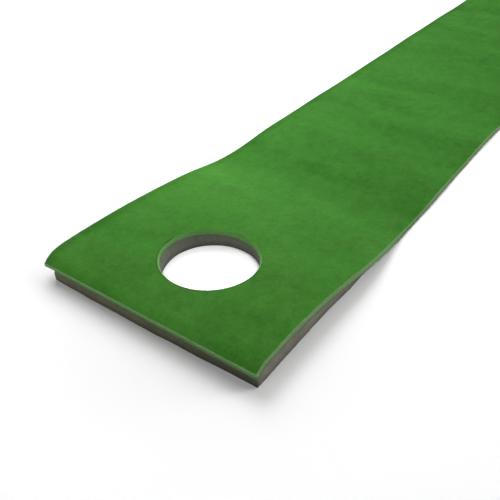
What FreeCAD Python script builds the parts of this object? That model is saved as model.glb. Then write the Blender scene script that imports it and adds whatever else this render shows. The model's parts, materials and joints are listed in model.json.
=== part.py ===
import FreeCAD, Part
import math
import os

# Practice putting mat: a strip of short-pile turf on a thin backing, with one end glued
# over a low foam wedge. A round cup hole goes right through the raised end.
#
# Millimetres, +Z up. The origin is the cup hole's centre at floor level. +Y runs along
# the putting lane, from the raised end to the far end.

# Turf
TURF_LENGTH = 2438.4
TURF_WIDTH = 279.4
BACKING_THICKNESS = 0.8
PILE_THICKNESS = 2.4

# Cup hole
HOLE_DIAMETER = 107.95
HOLE_FROM_END = 103.0
HOLE_FROM_RIGHT = 133.5

# Foam wedge, flush with the turf's right edge and set in from its left one
WEDGE_WIDTH = 262.0
WEDGE_LENGTH = 290.0
ADHESIVE_THICKNESS = 0.3

# Path of the turf's underside over the wedge, as seen from the side. It rolls over the
# wedge's near edge, runs level along the crest, and comes down to the floor on two
# opposite arcs.
CREST_HEIGHT = 20.0
CREST_END_FROM_END = 60.0
ROLL_LENGTH = 14.6
ROLL_RADIUS = 16.8
RAMP_RADIUS = 1247.0
TOE_RADIUS = 475.0

NEAR_Y = -HOLE_FROM_END
FAR_Y = NEAR_Y + TURF_LENGTH
RIGHT_X = HOLE_FROM_RIGHT
TURF_LEFT_X = RIGHT_X - TURF_WIDTH
WEDGE_LEFT_X = RIGHT_X - WEDGE_WIDTH
WEDGE_END_Y = NEAR_Y + WEDGE_LENGTH

# The ramp's two arcs touch where the line between their centres crosses the path, which
# gives the ramp's run and its steepest slope.
ROLL_END_Y = NEAR_Y + ROLL_LENGTH
CREST_END_Y = NEAR_Y + CREST_END_FROM_END
CENTRE_DISTANCE = RAMP_RADIUS + TOE_RADIUS
RAMP_RUN = math.sqrt(CREST_HEIGHT * (2 * CENTRE_DISTANCE - CREST_HEIGHT))
RAMP_SLOPE = math.asin(RAMP_RUN / CENTRE_DISTANCE)
TOE_Y = CREST_END_Y + RAMP_RUN

ROLL_CENTRE = FreeCAD.Vector(0, ROLL_END_Y, CREST_HEIGHT - ROLL_RADIUS)
RAMP_CENTRE = FreeCAD.Vector(0, CREST_END_Y, CREST_HEIGHT - RAMP_RADIUS)
TOE_CENTRE = FreeCAD.Vector(0, TOE_Y, TOE_RADIUS)


def on_circle(centre, radius, turn):
    """A point of a circle in the side view. The turn is from straight up towards +Y."""
    across = FreeCAD.Vector(0, math.sin(turn), math.cos(turn))
    return centre + across * radius


def arc(centre, radius, start, end):
    points = [on_circle(centre, radius, turn) for turn in (start, (start + end) / 2, end)]
    return Part.Arc(*points).toShape()


def path(height, end_y):
    """Edges of the line that runs this height above the turf's underside, as far as end_y.

    Its arcs keep the underside's centres, so lines at two heights stay the same distance
    apart. The toe's radius is negative, because its centre is above the turf.
    """
    roll = ROLL_RADIUS + height
    ramp = RAMP_RADIUS + height
    toe = height - TOE_RADIUS
    roll_start = math.asin((NEAR_Y - ROLL_END_Y) / roll)
    toe_end = math.asin(max(TOE_Y - end_y, 0) / -toe)
    edges = [
        arc(ROLL_CENTRE, roll, roll_start, 0),
        Part.LineSegment(
            on_circle(ROLL_CENTRE, roll, 0), on_circle(RAMP_CENTRE, ramp, 0)
        ).toShape(),
        arc(RAMP_CENTRE, ramp, 0, RAMP_SLOPE),
        arc(TOE_CENTRE, toe, RAMP_SLOPE, toe_end),
    ]
    if end_y > TOE_Y:
        floor_start = on_circle(TOE_CENTRE, toe, 0)
        floor_end = FreeCAD.Vector(0, end_y, floor_start.z)
        edges.append(Part.LineSegment(floor_start, floor_end).toShape())
    return edges


def floor_line(end_y):
    ends = FreeCAD.Vector(0, NEAR_Y, 0), FreeCAD.Vector(0, end_y, 0)
    return [Part.LineSegment(*ends).toShape()]


def layer(lower, upper, left_x):
    """The solid between two lines, from left_x to the right edge, with the cup hole cut."""
    near = [lower[0].firstVertex().Point, upper[0].firstVertex().Point]
    far = [lower[-1].lastVertex().Point, upper[-1].lastVertex().Point]
    ends = [Part.LineSegment(*pair).toShape() for pair in (near, far)]
    outline = Part.Wire(Part.__sortEdges__(lower + upper + ends))
    outline.translate(FreeCAD.Vector(left_x, 0, 0))
    solid = Part.Face(outline).extrude(FreeCAD.Vector(RIGHT_X - left_x, 0, 0))
    top = CREST_HEIGHT + BACKING_THICKNESS + PILE_THICKNESS
    hole = Part.makeCylinder(HOLE_DIAMETER / 2, 3 * top, FreeCAD.Vector(0, 0, -top))
    return solid.cut(hole)


def turf_pile():
    base = BACKING_THICKNESS
    tips = BACKING_THICKNESS + PILE_THICKNESS
    return layer(path(base, FAR_Y), path(tips, FAR_Y), TURF_LEFT_X)


def turf_backing():
    return layer(path(0, FAR_Y), path(BACKING_THICKNESS, FAR_Y), TURF_LEFT_X)


def wedge_adhesive():
    lower = path(-ADHESIVE_THICKNESS, WEDGE_END_Y)
    return layer(lower, path(0, WEDGE_END_Y), WEDGE_LEFT_X)


def ramp_wedge():
    upper = path(-ADHESIVE_THICKNESS, WEDGE_END_Y)
    return layer(floor_line(WEDGE_END_Y), upper, WEDGE_LEFT_X)


SUB_PARTS = [turf_pile, turf_backing, wedge_adhesive, ramp_wedge]

os.makedirs("parts", exist_ok=True)
for make in SUB_PARTS:
    shape = make()
    solid = shape.Solids[0]
    box = solid.BoundBox
    print(
        make.__name__,
        "valid" if solid.isValid() else "NOT VALID",
        len(shape.Solids),
        f"{solid.Volume:.0f} mm3",
        f"{box.XLength:.1f} x {box.YLength:.1f} x {box.ZLength:.2f}",
    )
    solid.exportStep(f"parts/{make.__name__}.step")
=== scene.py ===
import json
import math

import bpy
import numpy as np
from mathutils import Matrix, Vector, noise


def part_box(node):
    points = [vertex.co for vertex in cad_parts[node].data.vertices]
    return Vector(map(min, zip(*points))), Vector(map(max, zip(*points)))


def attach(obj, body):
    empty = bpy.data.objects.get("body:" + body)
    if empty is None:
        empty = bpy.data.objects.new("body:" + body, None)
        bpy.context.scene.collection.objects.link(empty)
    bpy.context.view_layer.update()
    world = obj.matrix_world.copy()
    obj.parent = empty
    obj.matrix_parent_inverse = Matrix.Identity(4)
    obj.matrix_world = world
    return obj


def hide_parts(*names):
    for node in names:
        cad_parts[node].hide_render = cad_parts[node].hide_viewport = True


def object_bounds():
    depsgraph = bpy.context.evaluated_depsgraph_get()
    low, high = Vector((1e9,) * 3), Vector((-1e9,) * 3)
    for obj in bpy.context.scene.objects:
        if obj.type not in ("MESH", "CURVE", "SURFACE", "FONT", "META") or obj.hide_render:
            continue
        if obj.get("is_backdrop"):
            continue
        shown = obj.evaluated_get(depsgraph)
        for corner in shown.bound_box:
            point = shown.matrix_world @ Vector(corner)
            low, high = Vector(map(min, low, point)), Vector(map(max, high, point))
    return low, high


# Practice putting mat: green felt on a thin latex backing, glued over a foam wedge at the
# raised end. Metres, +Z up, origin at the cup hole's centre on the floor, +Y along the lane.

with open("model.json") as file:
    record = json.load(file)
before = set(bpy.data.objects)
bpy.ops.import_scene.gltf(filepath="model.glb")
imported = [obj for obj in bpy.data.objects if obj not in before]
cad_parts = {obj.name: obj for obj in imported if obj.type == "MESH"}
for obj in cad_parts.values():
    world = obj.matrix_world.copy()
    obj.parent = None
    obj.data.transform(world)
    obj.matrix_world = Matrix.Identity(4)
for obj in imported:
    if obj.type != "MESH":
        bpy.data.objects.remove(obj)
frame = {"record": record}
CAD_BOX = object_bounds()

# ---------------------------------------------------------------------------------------
# Places, from the frame
# ---------------------------------------------------------------------------------------
PILE_LOW, PILE_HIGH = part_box("turf_pile")
BACKING_LOW, BACKING_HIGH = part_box("turf_backing")
WEDGE_LOW, WEDGE_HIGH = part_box("ramp_wedge")
HOLE = next(m for m in frame["record"]["mounts"] if m["name"] == "cup_hole")
HOLE_RADIUS = HOLE["dims"]["r_mm"] / 1000

LEFT, RIGHT = PILE_LOW.x, PILE_HIGH.x
NEAR, FAR = PILE_LOW.y, PILE_HIGH.y
WEDGE_LEFT, WEDGE_RIGHT = WEDGE_LOW.x, WEDGE_HIGH.x
WEDGE_END = WEDGE_HIGH.y
BACKING = PILE_LOW.z - BACKING_LOW.z                # thickness of the backing
TURF = BACKING + PILE_HIGH.z - BACKING_HIGH.z       # and of the backing and pile together
CREST = BACKING_HIGH.z - BACKING                    # height of the turf's underside
GLUE = CREST - WEDGE_HIGH.z                         # thickness of the glue

# The turf's path in the side view has the same arcs as the CAD model's
ROLL_RADIUS = 0.0168
RAMP_RADIUS = 1.247
TOE_RADIUS = 0.475
ROLL_END = NEAR + 0.0146
CREST_END = NEAR + 0.060
CENTRES_APART = RAMP_RADIUS + TOE_RADIUS
TOE = CREST_END + math.sqrt(CREST * (2 * CENTRES_APART - CREST))
RAMP_SLOPE = math.asin((TOE - CREST_END) / CENTRES_APART)

# ---------------------------------------------------------------------------------------
# How the real mat differs from the CAD's straight one
# ---------------------------------------------------------------------------------------
# Low waves are left in the lane from when it was rolled up
WAVE_LEFT = 0.0010          # their height at the left edge
WAVE_RIGHT = 0.0036         # at the right edge
WAVE_MIDDLE = 0.0014        # and how much more than the mean of the two half way across
WAVE_LENGTH = 0.165
WAVE_FROM = NEAR + 0.318
WAVE_RISE = 0.05            # they come in over this length
WAVE_FADE = 1.6             # and their height falls to 1/e over this one
WAVE_SKEW = 0.22            # radians of phase from one edge to the other
WAVE_BEAT = 0.25            # half the share of their height that comes and goes
WAVE_BEAT_LENGTH = 0.83
WAVE_BEAT_PHASE = 1.3
WAVE_BEAT_SKEW = 2.0
WAVE_CALM = 0.7             # share of their height that is gone at the far end
WAVE_CALM_LENGTH = 0.25

# The ramp is fuller, and its foot steeper, on the left
RAMP_LIFT = 0.0027
RAMP_LIFT_FROM = NEAR + 0.140
RAMP_LIFT_PEAK = NEAR + 0.250
RAMP_LIFT_TO = NEAR + 0.318
RAMP_LIFT_WIDTH = 0.7       # share of the turf's width over which it fades

# The crest falls slightly towards the near edge
CREST_TILT_RADIUS = 1.5

# The edges aren't straight: +1 for the right one, where along it, how far out, over what length
EDGE_SHIFTS = (
    (+1, NEAR + 0.062, -0.0009, 0.026),
    (+1, NEAR + 0.205, 0.0045, 0.062),
    (+1, NEAR + 0.345, 0.0022, 0.100),
    (+1, NEAR + 0.570, -0.0014, 0.070),
    (-1, NEAR, -0.0026, 0.014),
    (-1, NEAR + 0.150, 0.0010, 0.050),
    (-1, NEAR + 0.355, -0.0030, 0.050),
)
WANDER = 0.0006             # beyond the wedge the whole lane snakes by this much
WANDER_LENGTH = 0.53
WANDER_PHASE = 1.0
WANDER_RISE = 0.2

# The lip past the wedge's left side stands up a little, and its near corner hangs down
LIP_DROOP = -0.0014
LIP_RISE = 0.035            # length over which the first comes in
LIP_FADE = 0.26             # and over which it is gone
LIP_OUTERMOST = 1.2         # both grow as far out as this share of the lip's width
CORNER_DROOP = 0.0006
CORNER_REACH = 0.020

# The felt's cut edge is rounded over at its top, and stands out at its foot
FELT_ROUND = 0.0006
FELT_ROUND_HOLE = 0.0012
FELT_ROUND_FROM = 0.5       # share of its height where the rounding starts
CUT_FLARE = 0.0008
NEAR_FLARE = 0.0004
LIP_FLARE = -0.0006         # the lip's near end is cut square to the bent turf
BACKING_UNDERCUT = 0.0003   # the backing's foot is in by this much

# The blade pulled the turf's cut edge down over the foam
CUT_DRAG = 0.0030
CUT_DRAG_HOLE = 0.0020
CUT_DRAG_CORNER = 0.0016    # less at the near right corner
CUT_DRAG_RISE = (0.02, 0.05)    # how far from the corner it starts to grow, over what length

# How far along the foam's right face, how far out its foot is there, and over what length
RIGHT_FOOT_SHIFTS = (
    (0.0, 0.0010, 0.045), (0.108, -0.0010, 0.026), (0.168, 0.0012, 0.020),
)
NEAR_FOOT_OUT = 0.0014      # the foot of the foam's near face is out in the middle
NEAR_FOOT_IN = 0.0012       # and in on the right
FOOT_ROUND = 0.0003
FOOT_ROUND_TO = 0.08        # share of the foam's height that is rounded
HOLE_TAPER = 0.0026         # the foam's hole is cut narrower at the floor on its left side
HOLE_TAPER_MIDDLE = 0.2     # share of that at the hole's middle
HOLE_TAPER_TURN = 0.8       # and what is added to it one radius to the left
BLADE_STEADIED = 0.7        # the cut is this much less uneven at the top, under the turf

# Unevenness: rows of (height, noise scale, seed), which are added up
FELT_TOP_ROUGH = ((0.00016, 160, 1), (0.000096, 45, 2))
FELT_CUT_ROUGH = ((0.00022, 420, 3), (0.00016, 1100, 5))
BACKING_CUT_ROUGH = ((0.00015, 300, 8),)
FOAM_CUT_ROUGH = ((0.0005, 45, 11), (0.00025, 330, 12))
GLUE_EDGE_ROUGH = ((0.0018, 70, 21),)
SEED_SHIFT = (13.7, 5.3, 9.1)   # how far each seed moves the noise
FELT_CUT_HEIGHT = 0.004     # height of the cut edge that the noise is made for
FOAM_CUT_HEIGHT = 0.02

# Loose fibres along the turf's cut edges
FUZZ_SEED = 7
FUZZ_SPACING = 0.00010
FUZZ_DENSE_TO = 0.75        # beyond this along the lane, and on the left, they are sparser
FUZZ_FAR_SHARE = 0.14
FUZZ_LEFT_SHARE = 0.35
FUZZ_ROOTS = (1.0, 1.7)     # beta distribution of their roots' heights, mostly low
FUZZ_SUNK = 0.0004          # their roots are this deep in the edge
FUZZ_LENGTH = (0.0012, 0.0034)
FUZZ_LENGTH_LOW = 1.4       # factor on that at the foot of the edge
FUZZ_LENGTH_FALL = 1.1      # and how much less it is at the top
FUZZ_LENGTH_LEFT = 0.35     # factors on the left, at the near end, and there on the lip
FUZZ_LENGTH_NEAR = 0.5
FUZZ_LENGTH_LIP = 0.5
CORNER_TUFT = 1.4           # how much longer they are at the near right corner
CORNER_TUFT_REACH = 0.004
FUZZ_OUT = 0.4              # parts of a fibre's way: out of the edge,
FUZZ_SWING = 0.25           # along it, at random,
FUZZ_DOWN = 1.2             # down, less for the fibres near the top,
FUZZ_DOWN_RANGE = (0.4, 1.6)
FUZZ_UP = 0.3               # and up, for those near the top
FUZZ_OFF_FLOOR = 0.0001     # those that reach the floor end this high
FUZZ_SPLAY = 0.6            # and spread out along it
FUZZ_RADIUS = (0.00005, 0.00013)

# Meshes
CLOSE = 1e-6                # places nearer than this are the same
SUPPORT = 0.0009            # distance from an edge to the loop that holds it
ONE_CELL = 1                # a step longer than any stretch, which makes it one cell
PATCH = 0.072               # half side of the square around the hole, which has its own quads
PATCH_CELLS = 48
PATCH_STEP = 2 * PATCH / PATCH_CELLS
LAST_RING = 2.5 * SUPPORT   # how far from the hole the evenly spaced rings stop
ROLL_MARGIN = 0.002         # the close lines go on this far past the bend
TOE_MARGIN = 0.02
GLUE_INSET = 0.003
TOP, EDGE, UNDER = 0, 1, 2  # a sheet's materials
HOLE_RIM = 1                # the second of a flat cut's rims


def height(y, above):
    """Height of the line that runs this far above the turf's underside, as in the CAD model."""
    y = np.asarray(y, float)
    roll, ramp, toe = ROLL_RADIUS + above, RAMP_RADIUS + above, TOE_RADIUS - above
    ramp_stop = CREST_END + ramp * math.sin(RAMP_SLOPE)
    z = np.full_like(y, above)
    on = (y >= ramp_stop) & (y < TOE)
    z[on] = TOE_RADIUS - np.sqrt(toe**2 - (TOE - y[on]) ** 2)
    on = (y >= CREST_END) & (y < ramp_stop)
    z[on] = CREST - RAMP_RADIUS + np.sqrt(ramp**2 - (y[on] - CREST_END) ** 2)
    z[y < CREST_END] = CREST + above
    on = y < ROLL_END
    z[on] = CREST - ROLL_RADIUS + np.sqrt(roll**2 - (ROLL_END - y[on]) ** 2)
    on = y < CREST_END
    z[on] -= (CREST_END - y[on]) ** 2 / (2 * CREST_TILT_RADIUS)
    return z


def smooth(t):
    t = np.clip(t, 0, 1)
    return t * t * (3 - 2 * t)


def bell(distance, reach):
    return np.exp(-((distance / reach) ** 2))


def unit(vectors):
    return vectors / np.linalg.norm(vectors, axis=1)[:, None]


def waves(x, y):
    """How far the turf stands off the floor beyond the wedge."""
    across = (x - LEFT) / (RIGHT - LEFT) - 0.5
    phase = 2 * math.pi * (y - WAVE_FROM) / WAVE_LENGTH + WAVE_SKEW * across
    size = WAVE_LEFT + (WAVE_RIGHT - WAVE_LEFT) * (across + 0.5)
    size = size + WAVE_MIDDLE * np.clip(1 - 4 * across**2, 0, 1)
    size = size * np.exp(-np.maximum(y - WAVE_FROM, 0) / WAVE_FADE)
    beat = 2 * math.pi * y / WAVE_BEAT_LENGTH + WAVE_BEAT_PHASE + WAVE_BEAT_SKEW * across
    slow = 1 - WAVE_BEAT + WAVE_BEAT * np.sin(beat)
    low = size * slow * (1 - np.cos(phase)) / 2
    fade_in = smooth((y - WAVE_FROM) / WAVE_RISE)
    fade_out = 1 - WAVE_CALM * smooth((y - FAR + WAVE_CALM_LENGTH) / WAVE_CALM_LENGTH)
    return np.where(y > WAVE_FROM, low * fade_in * fade_out, 0.0)


def ramp_lift(x, y):
    """How much higher the ramp stands than the CAD's even one."""
    left = 1 - smooth((x - LEFT) / (RAMP_LIFT_WIDTH * (RIGHT - LEFT)))
    rise = smooth((y - RAMP_LIFT_FROM) / (RAMP_LIFT_PEAK - RAMP_LIFT_FROM))
    fall = 1 - smooth((y - RAMP_LIFT_PEAK) / (RAMP_LIFT_TO - RAMP_LIFT_PEAK))
    return RAMP_LIFT * left * rise * fall


def droop(x, y):
    """How far the unsupported lip on the left hangs down."""
    out = np.clip((WEDGE_LEFT - x) / (WEDGE_LEFT - LEFT), 0, LIP_OUTERMOST)
    near = smooth((y - NEAR) / LIP_RISE) * (1 - smooth((y - NEAR) / LIP_FADE))
    return out**2 * (LIP_DROOP * near + CORNER_DROOP * bell(y - NEAR, CORNER_REACH))


def edge_shift(side, y):
    """How far out the turf's left or right edge is from its straight line."""
    return sum(
        out * bell(y - at, reach) for which, at, out, reach in EDGE_SHIFTS if which == side
    )


def turf_place(x, y, above):
    """Where a point of the turf lies: x and y on the flat cut, above its underside."""
    x, y = np.asarray(x, float), np.asarray(y, float)
    middle, half = (LEFT + RIGHT) / 2, (RIGHT - LEFT) / 2
    share = (x - middle) / half
    bow = sum(
        side * np.clip(side * share, 0, None) ** 3 * edge_shift(side, y) for side in (-1, 1)
    )
    wander = WANDER * np.sin(2 * math.pi * y / WANDER_LENGTH + WANDER_PHASE)
    new_x = x + bow + wander * smooth((y - WEDGE_END) / WANDER_RISE)
    z = height(y, above) + ramp_lift(x, y) + waves(x, y) - droop(x, y)
    return np.stack([new_x, y + 0 * x, z], axis=-1)


def in_patch(at):
    """Whether each point of a rim is on the hole's."""
    return np.hypot(at[:, 0], at[:, 1]) < PATCH


def on_near_edge(at):
    return at[:, 1] < NEAR + CLOSE


def on_left_edge(at):
    return at[:, 0] < LEFT + CLOSE


def cut_drag(at):
    """How far the foot of the turf's cut edge is pulled down."""
    start, length = CUT_DRAG_RISE
    grown = smooth((at[:, 1] - NEAR - start) / length)
    right = CUT_DRAG_CORNER + (CUT_DRAG - CUT_DRAG_CORNER) * grown
    return np.where(in_patch(at), CUT_DRAG_HOLE, (at[:, 0] > RIGHT - CLOSE) * right)


def foot_flare(at):
    """How far the foot of the turf's cut edge stands out."""
    near = np.where(at[:, 0] < WEDGE_LEFT, LIP_FLARE, NEAR_FLARE)
    return np.where(on_near_edge(at), near, CUT_FLARE)


def rounded(share, radius):
    """How far in a rounded edge is: nothing up to share 0, and the radius at share 1."""
    return radius * (1 - math.sqrt(1 - max(0, share) ** 2))


def uneven(points, rows):
    """The sum of these rows of noise at each point."""
    total = 0.0
    for size, scale, seed in rows:
        shift = Vector([seed * step for step in SEED_SHIFT])
        total = total + size * np.array([noise.noise(Vector(p) * scale + shift) for p in points])
    return total


def at_height(at, z):
    return [(x, y, z) for x, y in at]


# ---------------------------------------------------------------------------------------
# Meshes
# ---------------------------------------------------------------------------------------
def add(name, data):
    """A new object in the scene, of this mesh, camera or light."""
    made = bpy.data.objects.new(name, data)
    bpy.context.scene.collection.objects.link(made)
    return made


def add_mesh(name, verts, faces, materials):
    mesh = bpy.data.meshes.new(name)
    mesh.from_pydata(verts, [], faces)
    for material in materials:
        mesh.materials.append(material)
    return add(name, mesh)


def lines(*stops):
    """Grid lines from the first stop on. Each later stop is (end, step)."""
    made = [stops[0]]
    for end, step in stops[1:]:
        count = max(1, round((end - made[-1]) / step))
        made += list(np.linspace(made[-1], end, count + 1)[1:])
    return np.array(made)


def lines_across(left, right, step):
    """Grid lines across a sheet, with a support loop inside each edge."""
    return lines(
        left, (left + SUPPORT, ONE_CELL), (-PATCH, step), (PATCH, PATCH_STEP),
        (right - SUPPORT, step), (right, ONE_CELL),
    )


def lines_along(beyond, roll_step, crest_step):
    """Grid lines along a sheet, closer over the near end's bend. beyond are the later stops."""
    return lines(
        NEAR, (NEAR + SUPPORT, ONE_CELL), (ROLL_END + ROLL_MARGIN, roll_step),
        (-PATCH, crest_step), (PATCH, PATCH_STEP), *beyond,
    )


def hole_rings(radius, inner_steps):
    """Shares of the way from the patch's square to the hole, with a support loop."""
    width = PATCH - radius
    shares = list(np.linspace(0, 1 - LAST_RING / width, inner_steps + 1)[1:])
    return shares + [1 - SUPPORT / width, 1.0]


class FlatCut:
    """A rectangle of quads with a round hole at the origin.

    points is N x 2, quads index them, and rims are the outer edge and the hole's edge, each
    as a ring of indices in order. The square patch around the hole is filled with rings, at
    these shares of the way from the square to the hole.
    """

    def __init__(self, x_lines, y_lines, hole_radius, ring_shares):
        self.points, self.quads = [], []
        index, in_x, in_y = self.fill_grid(x_lines, y_lines)
        square = [index[in_y[0], i] for i in in_x]
        square += [index[j, in_x[-1]] for j in in_y[1:]]
        square += [index[in_y[-1], i] for i in in_x[::-1][1:]]
        square += [index[j, in_x[0]] for j in in_y[::-1][1:-1]]
        hole = self.fill_patch(square, hole_radius, ring_shares)
        ny, nx = index.shape
        edge = [index[0, i] for i in range(nx)]
        edge += [index[j, nx - 1] for j in range(1, ny)]
        edge += [index[ny - 1, i] for i in range(nx - 2, -1, -1)]
        edge += [index[j, 0] for j in range(ny - 2, 0, -1)]
        self.rims = [np.array(edge), np.array(hole)]
        self.points = np.array(self.points)
        self.quads = np.array(self.quads)

    def fill_grid(self, x_lines, y_lines):
        """Everything outside the patch. Returns the grid's indices and the patch's lines."""
        nx, ny = len(x_lines), len(y_lines)
        in_x = [i for i in range(nx) if abs(x_lines[i]) <= PATCH + CLOSE]
        in_y = [j for j in range(ny) if abs(y_lines[j]) <= PATCH + CLOSE]
        index = -np.ones((ny, nx), int)
        for j in range(ny):
            for i in range(nx):
                if not (in_x[0] < i < in_x[-1] and in_y[0] < j < in_y[-1]):
                    index[j, i] = len(self.points)
                    self.points.append((x_lines[i], y_lines[j]))
        for j in range(ny - 1):
            for i in range(nx - 1):
                if not (in_x[0] <= i < in_x[-1] and in_y[0] <= j < in_y[-1]):
                    quad = index[j, i], index[j, i + 1], index[j + 1, i + 1], index[j + 1, i]
                    self.quads.append(quad)
        return index, in_x, in_y

    def fill_patch(self, square, hole_radius, ring_shares):
        """The rings from the square to the hole. Returns the hole's."""
        outer = np.array([self.points[k] for k in square])
        turn = np.arctan2(outer[:, 1], outer[:, 0])
        circle = hole_radius * np.stack([np.cos(turn), np.sin(turn)], axis=1)
        last = square
        for share in ring_shares:
            ring = []
            for a, b in zip(outer, circle):
                ring.append(len(self.points))
                self.points.append(tuple(a + (b - a) * share))
            n = len(ring)
            for k in range(n):
                self.quads.append((last[k], last[(k + 1) % n], ring[(k + 1) % n], ring[k]))
            last = ring
        return last


def rim_normals(points, rim, is_hole):
    """The direction out of the material at each point of a rim, in the plane."""
    if is_hole:
        return unit(-points[rim])
    low, high = points.min(0), points.max(0)
    at = points[rim]
    out = (at > high - CLOSE).astype(float) - (at < low + CLOSE).astype(float)
    return out / np.maximum(np.linalg.norm(out, axis=1)[:, None], 1)


def pull_down(verts, which, amount):
    """Lowers these points, but not into the floor."""
    down = verts[which, 2] - amount
    verts[which, 2] = np.where(down < 0, np.minimum(verts[which, 2], 0), down)


def thick_sheet(name, cut, place, levels, offset, materials, drag=lambda level, at: 0.0):
    """A closed solid over a flat cut.

    place(x, y, share) puts a point, with share 1 at the top and 0 at the bottom. levels are
    the shares down the cut edges, from 1 to 0. offset(level, at) is how far the edge stands
    out there, and drag(level, at) how far it is pulled down. The materials are those of the
    top, of the cut edges and of the underside.
    """
    flat = cut.points
    top_flat, bottom_flat = flat.copy(), flat.copy()
    walls = []
    for number, rim in enumerate(cut.rims):
        out = rim_normals(flat, rim, number == HOLE_RIM)
        walls.append([flat[rim] + out * offset(level, flat[rim])[:, None] for level in levels])
        top_flat[rim], bottom_flat[rim] = walls[-1][0], walls[-1][-1]
    verts = [place(top_flat[:, 0], top_flat[:, 1], 1.0)]
    verts.append(place(bottom_flat[:, 0], bottom_flat[:, 1], 0.0))
    for rim in cut.rims:
        for side, level in ((0, 1.0), (1, 0.0)):
            pull_down(verts[side], rim, drag(level, flat[rim]))
    count = len(flat)
    faces = [tuple(q) for q in cut.quads] + [tuple(q[::-1] + count) for q in cut.quads]
    slots = [TOP] * len(cut.quads) + [UNDER] * len(cut.quads)
    total = 2 * count
    for rim, wall in zip(cut.rims, walls):
        rings = [rim]
        for level, at in list(zip(levels, wall))[1:-1]:
            verts.append(place(at[:, 0], at[:, 1], level))
            pull_down(verts[-1], slice(None), drag(level, flat[rim]))
            rings.append(np.arange(total, total + len(rim)))
            total += len(rim)
        rings.append(rim + count)
        n = len(rim)
        for upper, lower in zip(rings, rings[1:]):
            for k in range(n):
                m = (k + 1) % n
                faces.append((upper[m], upper[k], lower[k], lower[m]))
                slots.append(EDGE)
    faces = [tuple(map(int, face)) for face in faces]
    piece = add_mesh(name, np.concatenate(verts).tolist(), faces, materials)
    piece.data.polygons.foreach_set("material_index", slots)
    piece.data.polygons.foreach_set("use_smooth", [True] * len(faces))
    piece.data.update()
    return piece


# ---------------------------------------------------------------------------------------
# Materials
# ---------------------------------------------------------------------------------------
class Material:
    """A node material with a Principled shader, in the object's own coordinates."""

    def __init__(self, name, roughness, **fixed):
        self.material = bpy.data.materials.new(name)
        self.material.use_nodes = True
        self.nodes = self.material.node_tree.nodes
        self.links = self.material.node_tree.links
        self.shader = self.nodes["Principled BSDF"]
        self.shader.inputs["Roughness"].default_value = roughness
        for socket, value in fixed.items():
            self.shader.inputs[socket.replace("_", " ")].default_value = value
        self.where = self.nodes.new("ShaderNodeTexCoord").outputs["Object"]

    def link(self, source, target):
        self.links.new(source, target)

    def mapped(self, scale=(1, 1, 1), turn=0.0):
        node = self.nodes.new("ShaderNodeMapping")
        node.inputs["Scale"].default_value = scale
        node.inputs["Rotation"].default_value = (0, 0, turn)
        self.link(self.where, node.inputs["Vector"])
        return node.outputs["Vector"]

    def noise(self, scale, detail=3.0, roughness=0.55, distortion=0.0, where=None):
        node = self.nodes.new("ShaderNodeTexNoise")
        self.link(where or self.where, node.inputs["Vector"])
        node.inputs["Scale"].default_value = scale
        node.inputs["Detail"].default_value = detail
        node.inputs["Roughness"].default_value = roughness
        node.inputs["Distortion"].default_value = distortion
        return node.outputs["Fac"]

    def cells(self, scale):
        node = self.nodes.new("ShaderNodeTexVoronoi")
        self.link(self.where, node.inputs["Vector"])
        node.inputs["Scale"].default_value = scale
        return node.outputs["Distance"]

    def threads(self, direction):
        node = self.nodes.new("ShaderNodeTexWave")
        node.wave_type, node.bands_direction, node.wave_profile = "BANDS", direction, "SIN"
        node.inputs["Scale"].default_value = 110
        node.inputs["Distortion"].default_value = 0.6
        node.inputs["Detail Scale"].default_value = 4
        self.link(self.where, node.inputs["Vector"])
        return node.outputs["Fac"]

    def math(self, operation, a, b=0.0):
        node = self.nodes.new("ShaderNodeMath")
        node.operation = operation
        for socket, value in zip(node.inputs, (a, b)):
            if isinstance(value, (int, float)):
                socket.default_value = value
            else:
                self.link(value, socket)
        return node.outputs["Value"]

    def plus(self, a, b):
        return self.math("ADD", a, b)

    def times(self, a, b):
        return self.math("MULTIPLY", a, b)

    def length(self, a, b):
        """The length of a vector with these two components."""
        return self.math("SQRT", self.plus(self.times(a, a), self.times(b, b)))

    def ramp(self, source, low, high, out_low=0.0, out_high=1.0, kind="SMOOTHSTEP"):
        node = self.nodes.new("ShaderNodeMapRange")
        node.interpolation_type = kind
        self.link(source, node.inputs["Value"])
        values = {"From Min": low, "From Max": high, "To Min": out_low, "To Max": out_high}
        for socket, value in values.items():
            node.inputs[socket].default_value = value
        return node.outputs["Result"]

    def mix(self, factor, a, b, blend="MIX"):
        node = self.nodes.new("ShaderNodeMix")
        node.data_type = "RGBA"
        node.blend_type = blend
        sockets = node.inputs["Factor"], node.inputs[6], node.inputs[7]
        for socket, value in zip(sockets, (factor, a, b)):
            if isinstance(value, tuple):
                socket.default_value = (*value, 1.0)
            elif isinstance(value, (int, float)):
                socket.default_value = value
            else:
                self.link(value, socket)
        return node.outputs[2]

    def over(self, base, colour, source, low, high, share=1.0):
        """The base with up to this share of a colour, as the source goes from low to high."""
        return self.mix(self.ramp(source, low, high, 0.0, share), base, colour)

    def tinted(self, base, tint):
        return self.mix(1.0, base, tint, "MULTIPLY")

    def axis(self, name):
        node = self.nodes.new("ShaderNodeSeparateXYZ")
        self.link(self.where, node.inputs["Vector"])
        return node.outputs[name]

    def from_axis(self):
        """Distance from the cup hole's axis."""
        return self.length(self.axis("X"), self.axis("Y"))

    def colour(self, source):
        self.link(source, self.shader.inputs["Base Color"])

    def bump(self, source, distance, strength, after=None):
        node = self.nodes.new("ShaderNodeBump")
        node.inputs["Distance"].default_value = distance
        node.inputs["Strength"].default_value = strength
        self.link(source, node.inputs["Height"])
        if after:
            self.link(after, node.inputs["Normal"])
        self.link(node.outputs["Normal"], self.shader.inputs["Normal"])
        return node.outputs["Normal"]


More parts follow.
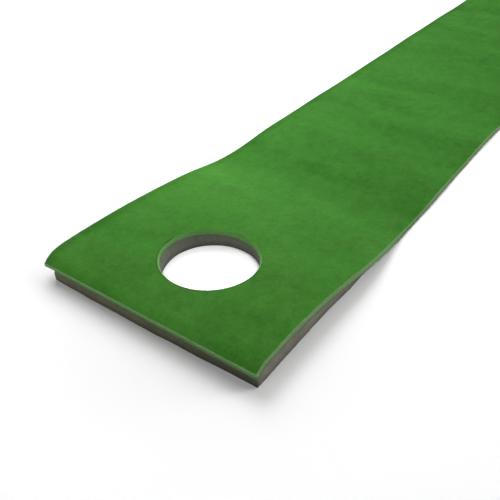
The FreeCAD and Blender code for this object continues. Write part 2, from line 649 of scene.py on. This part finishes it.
# Colours of the felt's top. From FELT_DARKEST on they multiply its green.
FELT_GREEN = (0.0358, 0.156, 0.0185)
FELT_GREYER = (0.0392, 0.1565, 0.0202)
FELT_DEEPER = (0.0330, 0.1555, 0.0168)
FELT_DARKEST = (0.57, 0.62, 0.50)       # the gaps between tufts are deeper in colour
FELT_LIGHTEST = (1.42, 1.36, 1.50)
NEAR_TINT = (1.14, 1.04, 1.05)          # the handled end has yellowed a little
LANE_TINT = (0.985, 1.0, 0.945)
TINTS_MEET = (NEAR + 0.15, NEAR + 0.45)
ROLL_PAINTED_LIGHT = 0.46                     # painted light: share of double brightness over the near bend
ROLL_PAINTED_LIGHT_SPAN = (ROLL_END + 0.004, NEAR)   # from where the bend starts to the near edge
TWICE = (2.0, 2.0, 2.0)

# The felt's mottling, from fine to wide: noise scales, and how much each changes the tone
FIBRE_TURNS = (0.35, 1.45, 2.55)
FIBRE_SCALE = (2600, 330, 900)
FIBRE_MEAN, FIBRE_TONE = 0.6, 0.5
BRUSHED_SCALE, BRUSHED_TURN = (1, 0.78, 1), -0.35   # tufts lie slightly across the lane
TUFTS, TUFTS_TONE = 330, 0.7
BLOTCHES, BLOTCHES_TONE = 105, 0.57
CLOUDS, CLOUDS_TONE = 38, 0.36
BANDS, BANDS_TONE = (5, 17, 5), 0.8
TONE_RANGE = (-0.5, 0.5)

# The same for its hue
HUE, HUE_SHARE, HUE_TURN = 120, 0.6, 0.5
HUE_WIDE, HUE_WIDE_SHARE, HUE_WIDE_TURN = 16, 0.4, 1.1
GREYER_AT = (0.46, 0.64)
DEEPER_AT = (0.54, 0.36)

# Painted light and shade on the felt's top: how much lighter each place is made
PAINTED_LIGHT_RAMP = 0.31                 # painted light on the ramp's left
PAINTED_SHADE_LANE = -0.13                # and painted shade on the lane's right
PAINTED_SHADE_CORNER = -0.13              # painted shade at the near right corner
PAINTED_SHADE_EDGE = -0.22                # painted shade along the left edge
PAINTED_SHADE_RIM = -0.34                 # painted shade on the hole's near side
PAINTED_SHADE_FAR = -0.12                 # and painted shade towards the far end
PAINTED_WAVE_LIGHT_AND_SHADE = -0.05               # and painted light and shade that rise and fall with the waves

# Where each of those starts, and where it is complete. Shares are of the way to the left.
RAMP_LIGHT_RISES = (NEAR + 0.13, NEAR + 0.24)
RAMP_LIGHT_FALLS = (TOE, TOE - 0.035)
RAMP_SHARES = (0.0, 0.9)
LANE_SHADE_RISES = (TOE - 0.025, TOE + 0.01)
LANE_AMOUNTS = (-0.2, 1.35)             # at the left edge and at the right one
CORNER_SHARES = (0.6, 0.1)
CORNER_SHADE_RISES = (NEAR + 0.13, NEAR + 0.05)
EDGE_SHADE_RISES = (LEFT + 0.015, LEFT + 0.004)
RIM_SHADE_RISES = (HOLE_RADIUS + 0.0040, HOLE_RADIUS + 0.0012)
RIM_NEAR_SIDE = (0.020, -0.015)
FAR_SHADE_RISES = (NEAR + 0.62, NEAR + 0.98)
WAVES_SHOW = (TOE + 0.03, TOE + 0.09)

# The turf's cut edge
CUT_PALE = (0.150, 0.262, 0.108)
CUT_DEEP = (0.075, 0.170, 0.048)
CUT_LAYERS = (500, 500, 2600)
CUT_SPECKS = 1500
CUT_GRAIN = (1700, 1700, 3200)
FIBRE_PALE = (0.112, 0.205, 0.080)
FIBRE_DEEP = (0.075, 0.135, 0.052)
AROUND_HOLE = (HOLE_RADIUS + 0.008, HOLE_RADIUS + 0.006)   # only the hole's wall is inside
# In the hole the cut edge is coloured as painted light and shade, by the way it faces
HOLE_CUT_PAINTED_SHARE = 0.75
HOLE_CUT_SHADE_AND_BOUNCE = (0.112, 0.305, 0.062)  # painted shade and green bounce light, at the back of the hole
HOLE_CUT_LEFT_SHADE = (0.082, 0.222, 0.051)
HOLE_CUT_RIGHT_LIGHT = (0.180, 0.390, 0.115)
HOLE_LEFT_SIDE = (-0.030, -0.048)
HOLE_RIGHT_SIDE = (0.034, 0.050)
NEAR_CUT = (NEAR + 0.0030, NEAR + 0.0015)
NEAR_CUT_Z = (0.0122, 0.0160)           # the near end's is palest at its top
NEAR_CUT_TONE = (0.85, 1.58)

# The backing: its latex, the scrim's threads under it, and marks
LATEX = (0.12, 0.135, 0.105)
LATEX_THREADS = (0.20, 0.215, 0.175)
LATEX_GRAIN = (0.10, 0.12, 0.085)
LATEX_MARKS = (0.075, 0.088, 0.065)

# The foam
FOAM_CELLS = 620                        # about how many there are to a metre
FOAM_CELL_DEPTH = 0.0005
FOAM_FINER = 2.3                        # how many times smaller the fine cells are
FOAM_STREAK_SCALE = (60, 60, 900)
FOAM_CELL = (0.083, 0.081, 0.062)
FOAM_CELL_WALL = (0.156, 0.152, 0.121)
FOAM_BROWNER = (0.150, 0.126, 0.106)
FOAM_HOLLOW = (0.090, 0.090, 0.067)
FOAM_FINE = (0.126, 0.120, 0.098)
FOAM_DULL = (0.085, 0.083, 0.064)
FOAM_STREAK = (0.176, 0.169, 0.145)
FOAM_FOOT_SHADE = (0.046, 0.044, 0.033)       # painted shade, dark where it meets the floor
FOAM_FOOT_SHADE_Z = (0.0075, 0.0005)
FOAM_FOOT_SHADE_SHARE = 0.6
NEAR_FACE = (NEAR + 0.004, NEAR + 0.001)
# painted yellow-green bounce light on the near face
NEAR_FOAM_BOUNCE_TINT = (0.98, 1.0, 0.80)
# painted shade in the hole
HOLE_FOAM_SHADE = (0.80, 0.83, 0.86)
FOAM_PAINTED_SHADE = (0.026, 0.028, 0.019)       # painted shade on the near face, darker towards its right end
FOAM_PAINTED_SHADE_SHARE = 0.62
FOAM_PAINTED_SHADE_FROM = -0.05

GLUE_DEEP = (0.42, 0.38, 0.26)
GLUE_PALE = (0.62, 0.58, 0.44)


def fibre_field(m):
    """Short matted fibres, lying in three directions, as a height from 0 to 1."""
    strands = None
    for turn in FIBRE_TURNS:
        along = m.mapped(FIBRE_SCALE, turn)
        layer = m.noise(1.0, detail=2.0, roughness=0.5, distortion=0.6, where=along)
        strands = layer if strands is None else m.math("MAXIMUM", strands, layer)
    return strands


def painted_light_and_shade(m):
    """Painted light and shade on the felt's top: how much lighter it is made at each place."""
    x, y = m.axis("X"), m.axis("Y")
    left = m.ramp(x, RIGHT, LEFT, kind="LINEAR")
    on_ramp = m.times(m.ramp(y, *RAMP_LIGHT_RISES), m.ramp(y, *RAMP_LIGHT_FALLS))
    ramp_lit = m.times(m.times(left, m.ramp(left, *RAMP_SHARES)), on_ramp)
    to_right = m.ramp(left, 1.0, 0.0, *LANE_AMOUNTS, kind="LINEAR")
    turn = m.times(m.math("SUBTRACT", y, WAVE_FROM), 2 * math.pi / WAVE_LENGTH)
    parts = (
        (PAINTED_LIGHT_RAMP, ramp_lit),
        (PAINTED_SHADE_LANE, m.times(to_right, m.ramp(y, *LANE_SHADE_RISES))),
        (PAINTED_SHADE_CORNER, m.times(m.ramp(left, *CORNER_SHARES), m.ramp(y, *CORNER_SHADE_RISES))),
        (PAINTED_WAVE_LIGHT_AND_SHADE, m.times(m.math("SINE", turn), m.ramp(y, *WAVES_SHOW))),
        (PAINTED_SHADE_EDGE, m.ramp(x, *EDGE_SHADE_RISES)),
        (PAINTED_SHADE_RIM, m.times(m.ramp(m.from_axis(), *RIM_SHADE_RISES), m.ramp(y, *RIM_NEAR_SIDE))),
        (PAINTED_SHADE_FAR, m.ramp(y, *FAR_SHADE_RISES)),
    )
    total = 0.0
    for weight, share in parts:
        total = m.plus(m.times(share, weight), total)
    return total


def felt_top():
    m = Material(
        "felt_top", roughness=0.95, Sheen_Weight=0.05, Sheen_Roughness=0.5,
        Sheen_Tint=(0.35, 0.85, 0.25, 1), Specular_IOR_Level=0.05,
    )
    y = m.axis("Y")
    strands = fibre_field(m)
    brushed = m.mapped(BRUSHED_SCALE, BRUSHED_TURN)
    tufts = m.noise(TUFTS, detail=4.0, roughness=0.6, where=brushed)
    blotches = m.noise(BLOTCHES, where=brushed)
    clouds = m.noise(CLOUDS, where=brushed)
    bands = m.noise(1.0, where=m.mapped(BANDS))
    # The tone adds the painted light and shade to the felt's own mottling
    tone = m.plus(m.times(m.math("SUBTRACT", strands, FIBRE_MEAN), FIBRE_TONE), painted_light_and_shade(m))
    for source, weight in (
        (tufts, TUFTS_TONE), (blotches, BLOTCHES_TONE), (clouds, CLOUDS_TONE), (bands, BANDS_TONE),
    ):
        tone = m.plus(tone, m.times(m.math("SUBTRACT", source, 0.5), weight))
    hue = m.noise(HUE, detail=4.0, roughness=0.6, where=m.mapped(turn=HUE_TURN))
    hue_wide = m.noise(HUE_WIDE, where=m.mapped(turn=HUE_WIDE_TURN))
    warm = m.plus(m.times(hue, HUE_SHARE), m.times(hue_wide, HUE_WIDE_SHARE))
    base = m.over(FELT_GREEN, FELT_GREYER, warm, *GREYER_AT)
    base = m.over(base, FELT_DEEPER, warm, *DEEPER_AT)
    base = m.tinted(base, m.over(NEAR_TINT, LANE_TINT, y, *TINTS_MEET))
    # Painted light over the near edge's bend
    base = m.over(base, m.tinted(base, TWICE), y, *ROLL_PAINTED_LIGHT_SPAN, ROLL_PAINTED_LIGHT)
    lightness = m.ramp(tone, *TONE_RANGE, kind="LINEAR")
    m.colour(m.mix(lightness, m.tinted(base, FELT_DARKEST), m.tinted(base, FELT_LIGHTEST)))
    coarse = m.bump(blotches, distance=0.0012, strength=0.5)
    coarse = m.bump(tufts, distance=0.0006, strength=0.6, after=coarse)
    m.bump(strands, distance=0.0003, strength=0.6, after=coarse)
    return m.material


def felt_cut_edge(name="felt_cut_edge", pale=CUT_PALE, deep=CUT_DEEP):
    """The sides of the cut fibres, paler than their tips, in faint layers. In the hole they carry
    painted shade and green bounce light at the back, painted shade on the left and painted light
    on the right.
    """
    m = Material(name, roughness=0.95, Sheen_Weight=0.1, Specular_IOR_Level=0.08)
    x, y, z = m.axis("X"), m.axis("Y"), m.axis("Z")
    layers = m.noise(1.0, roughness=0.6, distortion=0.4, where=m.mapped(CUT_LAYERS))
    specks = m.noise(CUT_SPECKS, detail=2.0, roughness=0.6)
    base = m.over(deep, pale, layers, low=0.35, high=0.65)
    base = m.over(base, deep, specks, low=0.40, high=0.72, share=0.5)
    painted_in_hole = m.over(HOLE_CUT_SHADE_AND_BOUNCE, HOLE_CUT_LEFT_SHADE, x, *HOLE_LEFT_SIDE)
    painted_in_hole = m.over(painted_in_hole, HOLE_CUT_RIGHT_LIGHT, x, *HOLE_RIGHT_SIDE)
    base = m.over(base, painted_in_hole, m.from_axis(), *AROUND_HOLE, HOLE_CUT_PAINTED_SHARE)
    near = m.tinted(base, m.ramp(z, *NEAR_CUT_Z, *NEAR_CUT_TONE))
    m.colour(m.over(base, near, y, *NEAR_CUT))
    grain = m.noise(1.0, roughness=0.6, where=m.mapped(CUT_GRAIN))
    m.bump(grain, distance=0.0004, strength=0.8)
    return m.material


def latex_backing():
    """A rolled latex coat over a fine scrim."""
    m = Material("latex_backing", roughness=0.78, Specular_IOR_Level=0.3)
    grain = m.noise(scale=260, detail=4.0, roughness=0.6)
    marks = m.noise(scale=18)
    scrim = m.math("MAXIMUM", m.threads("X"), m.threads("Y"))
    base = m.over(LATEX, LATEX_THREADS, scrim, low=0.55, high=0.98)
    base = m.over(base, LATEX_GRAIN, grain, low=0.35, high=0.7, share=0.5)
    m.colour(m.over(base, LATEX_MARKS, marks, low=0.4, high=0.7, share=0.35))
    first = m.bump(scrim, distance=0.0004, strength=0.7)
    m.bump(grain, distance=0.0003, strength=0.7, after=first)
    return m.material


def foam_cut():
    """Closed-cell foam: rounded cells and a few torn ones, with painted shade at its foot, in the
    hole and towards the near face's right end, and painted bounce light on the near face.
    """
    m = Material("foam_cut", roughness=0.88, Specular_IOR_Level=0.25)
    x, y, z = m.axis("X"), m.axis("Y"), m.axis("Z")
    cells = m.cells(FOAM_CELLS)
    fine = m.cells(FOAM_CELLS * FOAM_FINER)
    hue = m.noise(scale=75, where=m.mapped(turn=0.8))
    hollows = m.noise(scale=110, roughness=0.6)
    dull = m.noise(scale=35, roughness=0.6)
    streaks = m.noise(1.0, roughness=0.6, where=m.mapped(FOAM_STREAK_SCALE))
    base = m.over(FOAM_CELL, FOAM_CELL_WALL, cells, low=0.1, high=0.6)
    for colour, source, low, high, share in (
        (FOAM_BROWNER, hue, 0.50, 0.68, 0.6),
        (FOAM_HOLLOW, hollows, 0.45, 0.62, 0.55),
        (FOAM_FINE, fine, 0.15, 0.5, 0.4),
        (FOAM_DULL, dull, 0.35, 0.7, 0.35),
        (FOAM_STREAK, streaks, 0.45, 0.75, 0.25),
        (FOAM_FOOT_SHADE, z, *FOAM_FOOT_SHADE_Z, FOAM_FOOT_SHADE_SHARE),
    ):
        base = m.over(base, colour, source, low, high, share)
    near = m.ramp(y, *NEAR_FACE)
    # painted shade on the near face towards its right end
    near_shade = m.times(near, m.ramp(x, FOAM_PAINTED_SHADE_FROM, RIGHT, 0.0, FOAM_PAINTED_SHADE_SHARE))
    # painted bounce light on the near face
    base = m.mix(near, base, m.tinted(base, NEAR_FOAM_BOUNCE_TINT))
    # painted shade in the hole
    base = m.over(base, m.tinted(base, HOLE_FOAM_SHADE), m.from_axis(), *AROUND_HOLE)
    m.colour(m.mix(near_shade, base, FOAM_PAINTED_SHADE))
    first = m.bump(cells, distance=FOAM_CELL_DEPTH, strength=0.8)
    m.bump(fine, distance=FOAM_CELL_DEPTH / 2, strength=0.6, after=first)
    return m.material


def dried_glue():
    m = Material("dried_glue", roughness=0.35, Specular_IOR_Level=0.5)
    swirl = m.noise(scale=60, detail=4.0, roughness=0.6, distortion=1.5)
    m.colour(m.over(GLUE_DEEP, GLUE_PALE, swirl, low=0.3, high=0.7))
    m.bump(swirl, distance=0.0003, strength=0.6)
    return m.material


# ---------------------------------------------------------------------------------------
# Pieces
# ---------------------------------------------------------------------------------------
def turf_cut():
    x_lines = lines_across(LEFT, RIGHT, step=0.0045)
    beyond = (TOE + TOE_MARGIN, 0.004), (FAR - SUPPORT, 0.0085), (FAR, ONE_CELL)
    y_lines = lines_along(beyond, roll_step=0.0011, crest_step=0.003)
    return FlatCut(x_lines, y_lines, HOLE_RADIUS, hole_rings(HOLE_RADIUS, inner_steps=5))


def felt():
    levels = [1.0, 0.96, 0.90, 0.80, 0.65, 0.45, 0.25, 0.0]     # closest where it is rounded

    def offset(level, at):
        radius = np.where(in_patch(at), FELT_ROUND_HOLE, FELT_ROUND)
        rounding = rounded((level - FELT_ROUND_FROM) / (1 - FELT_ROUND_FROM), radius)
        rough = uneven(at_height(at, level * FELT_CUT_HEIGHT), FELT_CUT_ROUGH)
        return rough - rounding + foot_flare(at) * (1 - level)

    def place(x, y, share):
        made = turf_place(x, y, BACKING + share * (TURF - BACKING))
        if share == 1.0:
            made[:, 2] += uneven(np.stack([x, y, 0 * x], axis=-1), FELT_TOP_ROUGH)
        return made

    piece = thick_sheet(
        "turf_felt", turf_cut(), place, levels, offset,
        [felt_top(), felt_cut_edge(), felt_cut_edge()],
        drag=lambda level, at: (1 - level) * cut_drag(at),
    )
    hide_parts("turf_pile")
    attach(piece, "root")
    return piece


def backing():
    levels = [1.0, 0.5, 0.0]

    def offset(level, at):
        undercut = BACKING_UNDERCUT * (1 - level)
        return foot_flare(at) - undercut + uneven(at_height(at, 0), BACKING_CUT_ROUGH)

    def place(x, y, share):
        return turf_place(x, y, share * BACKING)

    latex = latex_backing()
    piece = thick_sheet(
        "turf_latex", turf_cut(), place, levels, offset, [latex, felt_cut_edge(), latex],
        drag=lambda level, at: cut_drag(at),
    )
    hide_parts("turf_backing")
    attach(piece, "root")
    return piece


def fuzz_spots(rng, ring):
    """Random places along a closed ring, and the ring's direction at each."""
    sides = np.roll(ring, -1, axis=0) - ring
    reach = np.concatenate([[0], np.cumsum(np.linalg.norm(sides, axis=1))])
    spot = rng.uniform(0, reach[-1], int(reach[-1] / FUZZ_SPACING))
    side = np.searchsorted(reach, spot) - 1
    along = unit(sides)[side]
    flat = ring[side] + along * (spot - reach[side])[:, None]
    share = np.where(flat[:, 1] < FUZZ_DENSE_TO, 1, FUZZ_FAR_SHARE)
    share = np.where(on_left_edge(flat), share * FUZZ_LEFT_SHARE, share)
    keep = rng.random(len(flat)) < share
    return flat[keep], along[keep]


def fuzz_fibres(rng, flat, along, out):
    """Where a fibre at each of these places is rooted, and its way from there to its tip."""
    share = rng.beta(*FUZZ_ROOTS, len(flat))
    root = flat + out * (foot_flare(flat) * (1 - share) - FUZZ_SUNK)[:, None]
    base = np.array([turf_place(x, y, a) for (x, y), a in zip(root, share * TURF)])
    pull_down(base, slice(None), (1 - share) * cut_drag(flat))
    length = rng.uniform(*FUZZ_LENGTH, len(flat)) * (FUZZ_LENGTH_LOW - FUZZ_LENGTH_FALL * share)
    to_corner = np.hypot(flat[:, 0] - RIGHT, flat[:, 1] - NEAR)
    length *= 1 + CORNER_TUFT * bell(to_corner, CORNER_TUFT_REACH)
    length[on_left_edge(flat)] *= FUZZ_LENGTH_LEFT
    length[on_near_edge(flat)] *= FUZZ_LENGTH_NEAR
    length[on_near_edge(flat) & (flat[:, 0] < WEDGE_LEFT)] *= FUZZ_LENGTH_LIP
    swing = rng.normal(0, FUZZ_SWING, len(flat))
    fall = -(FUZZ_DOWN - share) * rng.uniform(*FUZZ_DOWN_RANGE, len(flat)) + FUZZ_UP * share
    way = np.concatenate([out * FUZZ_OUT + along * swing[:, None], fall[:, None]], axis=1)
    way *= (length / np.linalg.norm(way, axis=1))[:, None]
    sunk = np.minimum(base[:, 2] + way[:, 2] - FUZZ_OFF_FLOOR, 0)
    way[:, 2] -= sunk
    way[:, :2] -= out * sunk[:, None] * FUZZ_SPLAY
    return base, way


def edge_fuzz():
    """Loose fibres that stand out of the turf's cut edges, each a thin pyramid."""
    rng = np.random.default_rng(FUZZ_SEED)
    cut = turf_cut()
    fibres = []
    for number, rim in enumerate(cut.rims):
        flat, along = fuzz_spots(rng, cut.points[rim])
        out = np.stack([along[:, 1], -along[:, 0]], axis=1)
        if number == HOLE_RIM:
            out = unit(-flat)
        fibres.append(fuzz_fibres(rng, flat, along, out))
    base, way = (np.concatenate(parts) for parts in zip(*fibres))
    askew = [0.3, 0.2, 1.0]     # no fibre lies along this
    across = unit(np.cross(way, askew))
    over = unit(np.cross(way, across))
    radius = rng.uniform(*FUZZ_RADIUS, len(base))[:, None]
    corners = [
        base + radius * (math.cos(turn) * across + math.sin(turn) * over)
        for turn in (0, 2 * math.pi / 3, 4 * math.pi / 3)
    ]
    verts = np.stack(corners + [base + way], axis=1).reshape(-1, 3)
    first = 4 * np.arange(len(base))[:, None]
    faces = np.concatenate([first + f for f in ([0, 1, 3], [1, 2, 3], [2, 0, 3], [2, 1, 0])])
    fibre = felt_cut_edge("felt_fibres", FIBRE_PALE, FIBRE_DEEP)
    piece = add_mesh("felt_fuzz", verts.tolist(), faces.tolist(), [fibre])
    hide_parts("turf_pile")
    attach(piece, "root")


def wedge():
    x_lines = lines_across(WEDGE_LEFT, WEDGE_RIGHT, step=0.006)
    beyond = (WEDGE_END - SUPPORT, 0.004), (WEDGE_END, ONE_CELL)
    y_lines = lines_along(beyond, roll_step=0.002, crest_step=0.004)
    cut = FlatCut(x_lines, y_lines, HOLE_RADIUS, hole_rings(HOLE_RADIUS, inner_steps=3))
    levels = [1.0, 0.96, 0.88, 0.78, 0.66, 0.54, 0.42, 0.30, 0.18, 0.08, 0.03, 0.0]

    def right_face(level, at):
        foot = 0.0
        for spot, out, reach in RIGHT_FOOT_SHIFTS:
            foot = foot + out * bell(at[:, 1] - NEAR - spot, reach)
        shift = foot * (1 - level) + level * np.minimum(edge_shift(+1, at[:, 1]), 0)
        return shift * (at[:, 0] > WEDGE_RIGHT - CLOSE)

    def near_face(level, at):
        share = (at[:, 0] - WEDGE_LEFT) / (WEDGE_RIGHT - WEDGE_LEFT)
        bulge = NEAR_FOOT_OUT * np.sin(math.pi * share) - NEAR_FOOT_IN * share**3
        return on_near_edge(at) * bulge * (1 - level)

    def hole_wall(level, at):
        lean = HOLE_TAPER_MIDDLE - HOLE_TAPER_TURN * at[:, 0] / HOLE_RADIUS
        return HOLE_TAPER * (1 - level) * np.clip(lean, 0, 1)

    def offset(level, at):
        foot = rounded((FOOT_ROUND_TO - level) / FOOT_ROUND_TO, FOOT_ROUND)
        blade = uneven(at_height(at, level * FOAM_CUT_HEIGHT), FOAM_CUT_ROUGH)
        sides = right_face(level, at) + near_face(level, at)
        shift = np.where(in_patch(at), hole_wall(level, at), sides)
        return blade * (1 - BLADE_STEADIED * level) - foot + shift

    def place(x, y, share):
        top = height(y, -GLUE) + ramp_lift(x, y)
        return np.stack([x, y, share * top], axis=-1)

    foam = foam_cut()
    piece = thick_sheet("foam_wedge", cut, place, levels, offset, [foam, foam, foam])
    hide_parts("ramp_wedge")
    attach(piece, "root")


def glue():
    x_lines = lines(
        WEDGE_LEFT + GLUE_INSET, (-PATCH, 0.008), (PATCH, PATCH_STEP),
        (WEDGE_RIGHT - GLUE_INSET, 0.008),
    )
    y_lines = lines(
        NEAR + GLUE_INSET, (ROLL_END, 0.002), (-PATCH, 0.004), (PATCH, PATCH_STEP),
        (WEDGE_END - GLUE_INSET, 0.006),
    )
    radius = HOLE_RADIUS + GLUE_INSET
    cut = FlatCut(x_lines, y_lines, radius, hole_rings(radius, inner_steps=3))

    def offset(level, at):
        return uneven(at_height(at, 0), GLUE_EDGE_ROUGH)

    def place(x, y, share):
        return np.stack([x, y, height(y, -GLUE * (1 - share)) + ramp_lift(x, y)], axis=-1)

    dried = dried_glue()
    piece = thick_sheet("glue_film", cut, place, [1.0, 0.5, 0.0], offset, [dried] * 3)
    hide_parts("wedge_adhesive")
    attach(piece, "root")


# ---------------------------------------------------------------------------------------
# Floor, camera and light
# ---------------------------------------------------------------------------------------
FLOOR_GREY = 0.86
FLOOR_HALF = 30.0
FLOOR_DROP = 0.0003             # it is just under the mat, so that no two faces coincide

# Away from the mat's middle line the floor is first evened out a little, and then fades to
# the backdrop's white. Inside the hole it glows, as painted light over the hole's shadow.
FLOOR_EVENED = (0.12, 0.29)
FLOOR_EVENED_BY = 0.12
FLOOR_FADES = (0.30, 0.95)
FLOOR_IN_HOLE = (HOLE_RADIUS + 0.002, HOLE_RADIUS - 0.004)
FLOOR_IN_HOLE_PAINTED_LIGHT = 0.50

CAMERA_AT = (0.3657, -0.4281, 0.4461)
CAMERA_PITCH = math.radians(36.43)
CAMERA_YAW = math.radians(36.17)
CAMERA_ROLL = math.radians(-0.56)
CAMERA_LENS = 48.0

# Lights that shine straight down: name, place, side of the square, watts
LIGHTS_OVERHEAD = (
    ("key", (-0.5, 0.3, 0.7), 0.5, 4.63),
    ("lane_top", (-0.4, 1.2, 1.1), 0.6, 3.1),
    ("near_top", (-0.4, -0.8, 1.1), 0.6, 1.7),
)

# Lights around the studio: name, azimuth from +Y towards -X and elevation in degrees, watts
LIGHTS_AROUND = (
    ("back_right_low", 315, 14, 51),
    ("back_right", 315, 32, 26),
    ("back_left", 45, 32, 53),
    ("back", 0, 32, 8.5),
    ("front_right", 225, 32, 19),
    ("front", 180, 32, 10.5),
)
STUDIO_CENTRE = Vector((0, 0.15, 0))
STUDIO_RADIUS = 3.0
STUDIO_LIGHT_SIDE = 1.2
SKY_LIGHT = 0.02                # how strongly the sky lights the mat
SKY_SEEN = 1.0                  # and how bright the camera sees it


def floor_material():
    m = Material("floor", roughness=0.6, Specular_IOR_Level=0.2)
    m.shader.inputs["Base Color"].default_value = (FLOOR_GREY, FLOOR_GREY, FLOOR_GREY, 1)
    m.shader.inputs["Emission Color"].default_value = (1, 1, 1, 1)
    x, y, end = m.axis("X"), m.axis("Y"), FAR - (RIGHT - LEFT) / 2
    past = m.math("SUBTRACT", y, m.ramp(y, 0.0, end, 0.0, end, kind="LINEAR"))
    away = m.length(x, past)
    evened = m.ramp(away, *FLOOR_EVENED, 0.0, FLOOR_EVENED_BY)
    # painted light on the floor inside the hole
    painted_in_hole = m.ramp(m.from_axis(), *FLOOR_IN_HOLE, 0.0, FLOOR_IN_HOLE_PAINTED_LIGHT)
    glow = m.math("MAXIMUM", evened, painted_in_hole)
    glow = m.math("MAXIMUM", glow, m.ramp(away, *FLOOR_FADES))
    m.link(glow, m.shader.inputs["Emission Strength"])
    return m.material


def floor():
    signs = ((-1, -1), (1, -1), (1, 1), (-1, 1))
    corners = [(x * FLOOR_HALF, y * FLOOR_HALF, -FLOOR_DROP) for x, y in signs]
    plane = add_mesh("floor", corners, [(0, 1, 2, 3)], [floor_material()])
    plane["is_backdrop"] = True


def camera():
    data = bpy.data.cameras.new("camera")
    data.lens, data.sensor_width = CAMERA_LENS, 36.0
    data.clip_start, data.clip_end = 0.01, 100.0
    turn = Matrix.Rotation(CAMERA_YAW, 4, "Z")
    turn = turn @ Matrix.Rotation(math.pi / 2 - CAMERA_PITCH, 4, "X")
    turn = turn @ Matrix.Rotation(CAMERA_ROLL, 4, "Z")
    eye = add("camera", data)
    eye.matrix_world = Matrix.Translation(CAMERA_AT) @ turn
    bpy.context.scene.camera = eye


def soft_light(name, at, target, side, watts):
    data = bpy.data.lights.new(name, "AREA")
    data.shape, data.size, data.energy = "SQUARE", side, watts
    lamp = add(name, data)
    lamp.location = at
    lamp.rotation_euler = (Vector(target) - Vector(at)).to_track_quat("-Z", "Y").to_euler()
    lamp.visible_camera = False


def lights():
    for name, at, side, watts in LIGHTS_OVERHEAD:
        soft_light(name, at, (at[0], at[1], 0), side, watts)
    for name, azimuth, elevation, watts in LIGHTS_AROUND:
        turn, rise = math.radians(azimuth), math.radians(elevation)
        flat = math.cos(rise)
        away = Vector((-math.sin(turn) * flat, math.cos(turn) * flat, math.sin(rise)))
        at = STUDIO_CENTRE + away * STUDIO_RADIUS
        soft_light(name, at, STUDIO_CENTRE, STUDIO_LIGHT_SIDE, watts)


def sky():
    """A white world, which the camera sees brighter than it lights the mat."""
    world = bpy.data.worlds.new("world")
    world.use_nodes = True
    nodes, links = world.node_tree.nodes, world.node_tree.links
    background = nodes["Background"]
    background.inputs["Color"].default_value = (1.0, 1.0, 1.0, 1)
    strength = nodes.new("ShaderNodeMapRange")
    strength.inputs["To Min"].default_value = SKY_LIGHT
    strength.inputs["To Max"].default_value = SKY_SEEN
    seen = nodes.new("ShaderNodeLightPath").outputs["Is Camera Ray"]
    links.new(seen, strength.inputs["Value"])
    links.new(strength.outputs["Result"], background.inputs["Strength"])
    bpy.context.scene.world = world


camera()
lights()
sky()
bpy.context.scene.view_settings.view_transform = "Standard"
floor()
latex = backing()
felt_piece = felt()
edge_fuzz()
wedge()
glue()

boxes = {"cad": CAD_BOX, "visual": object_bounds()}
{name: [list(corner) for corner in box] for name, box in boxes.items()}
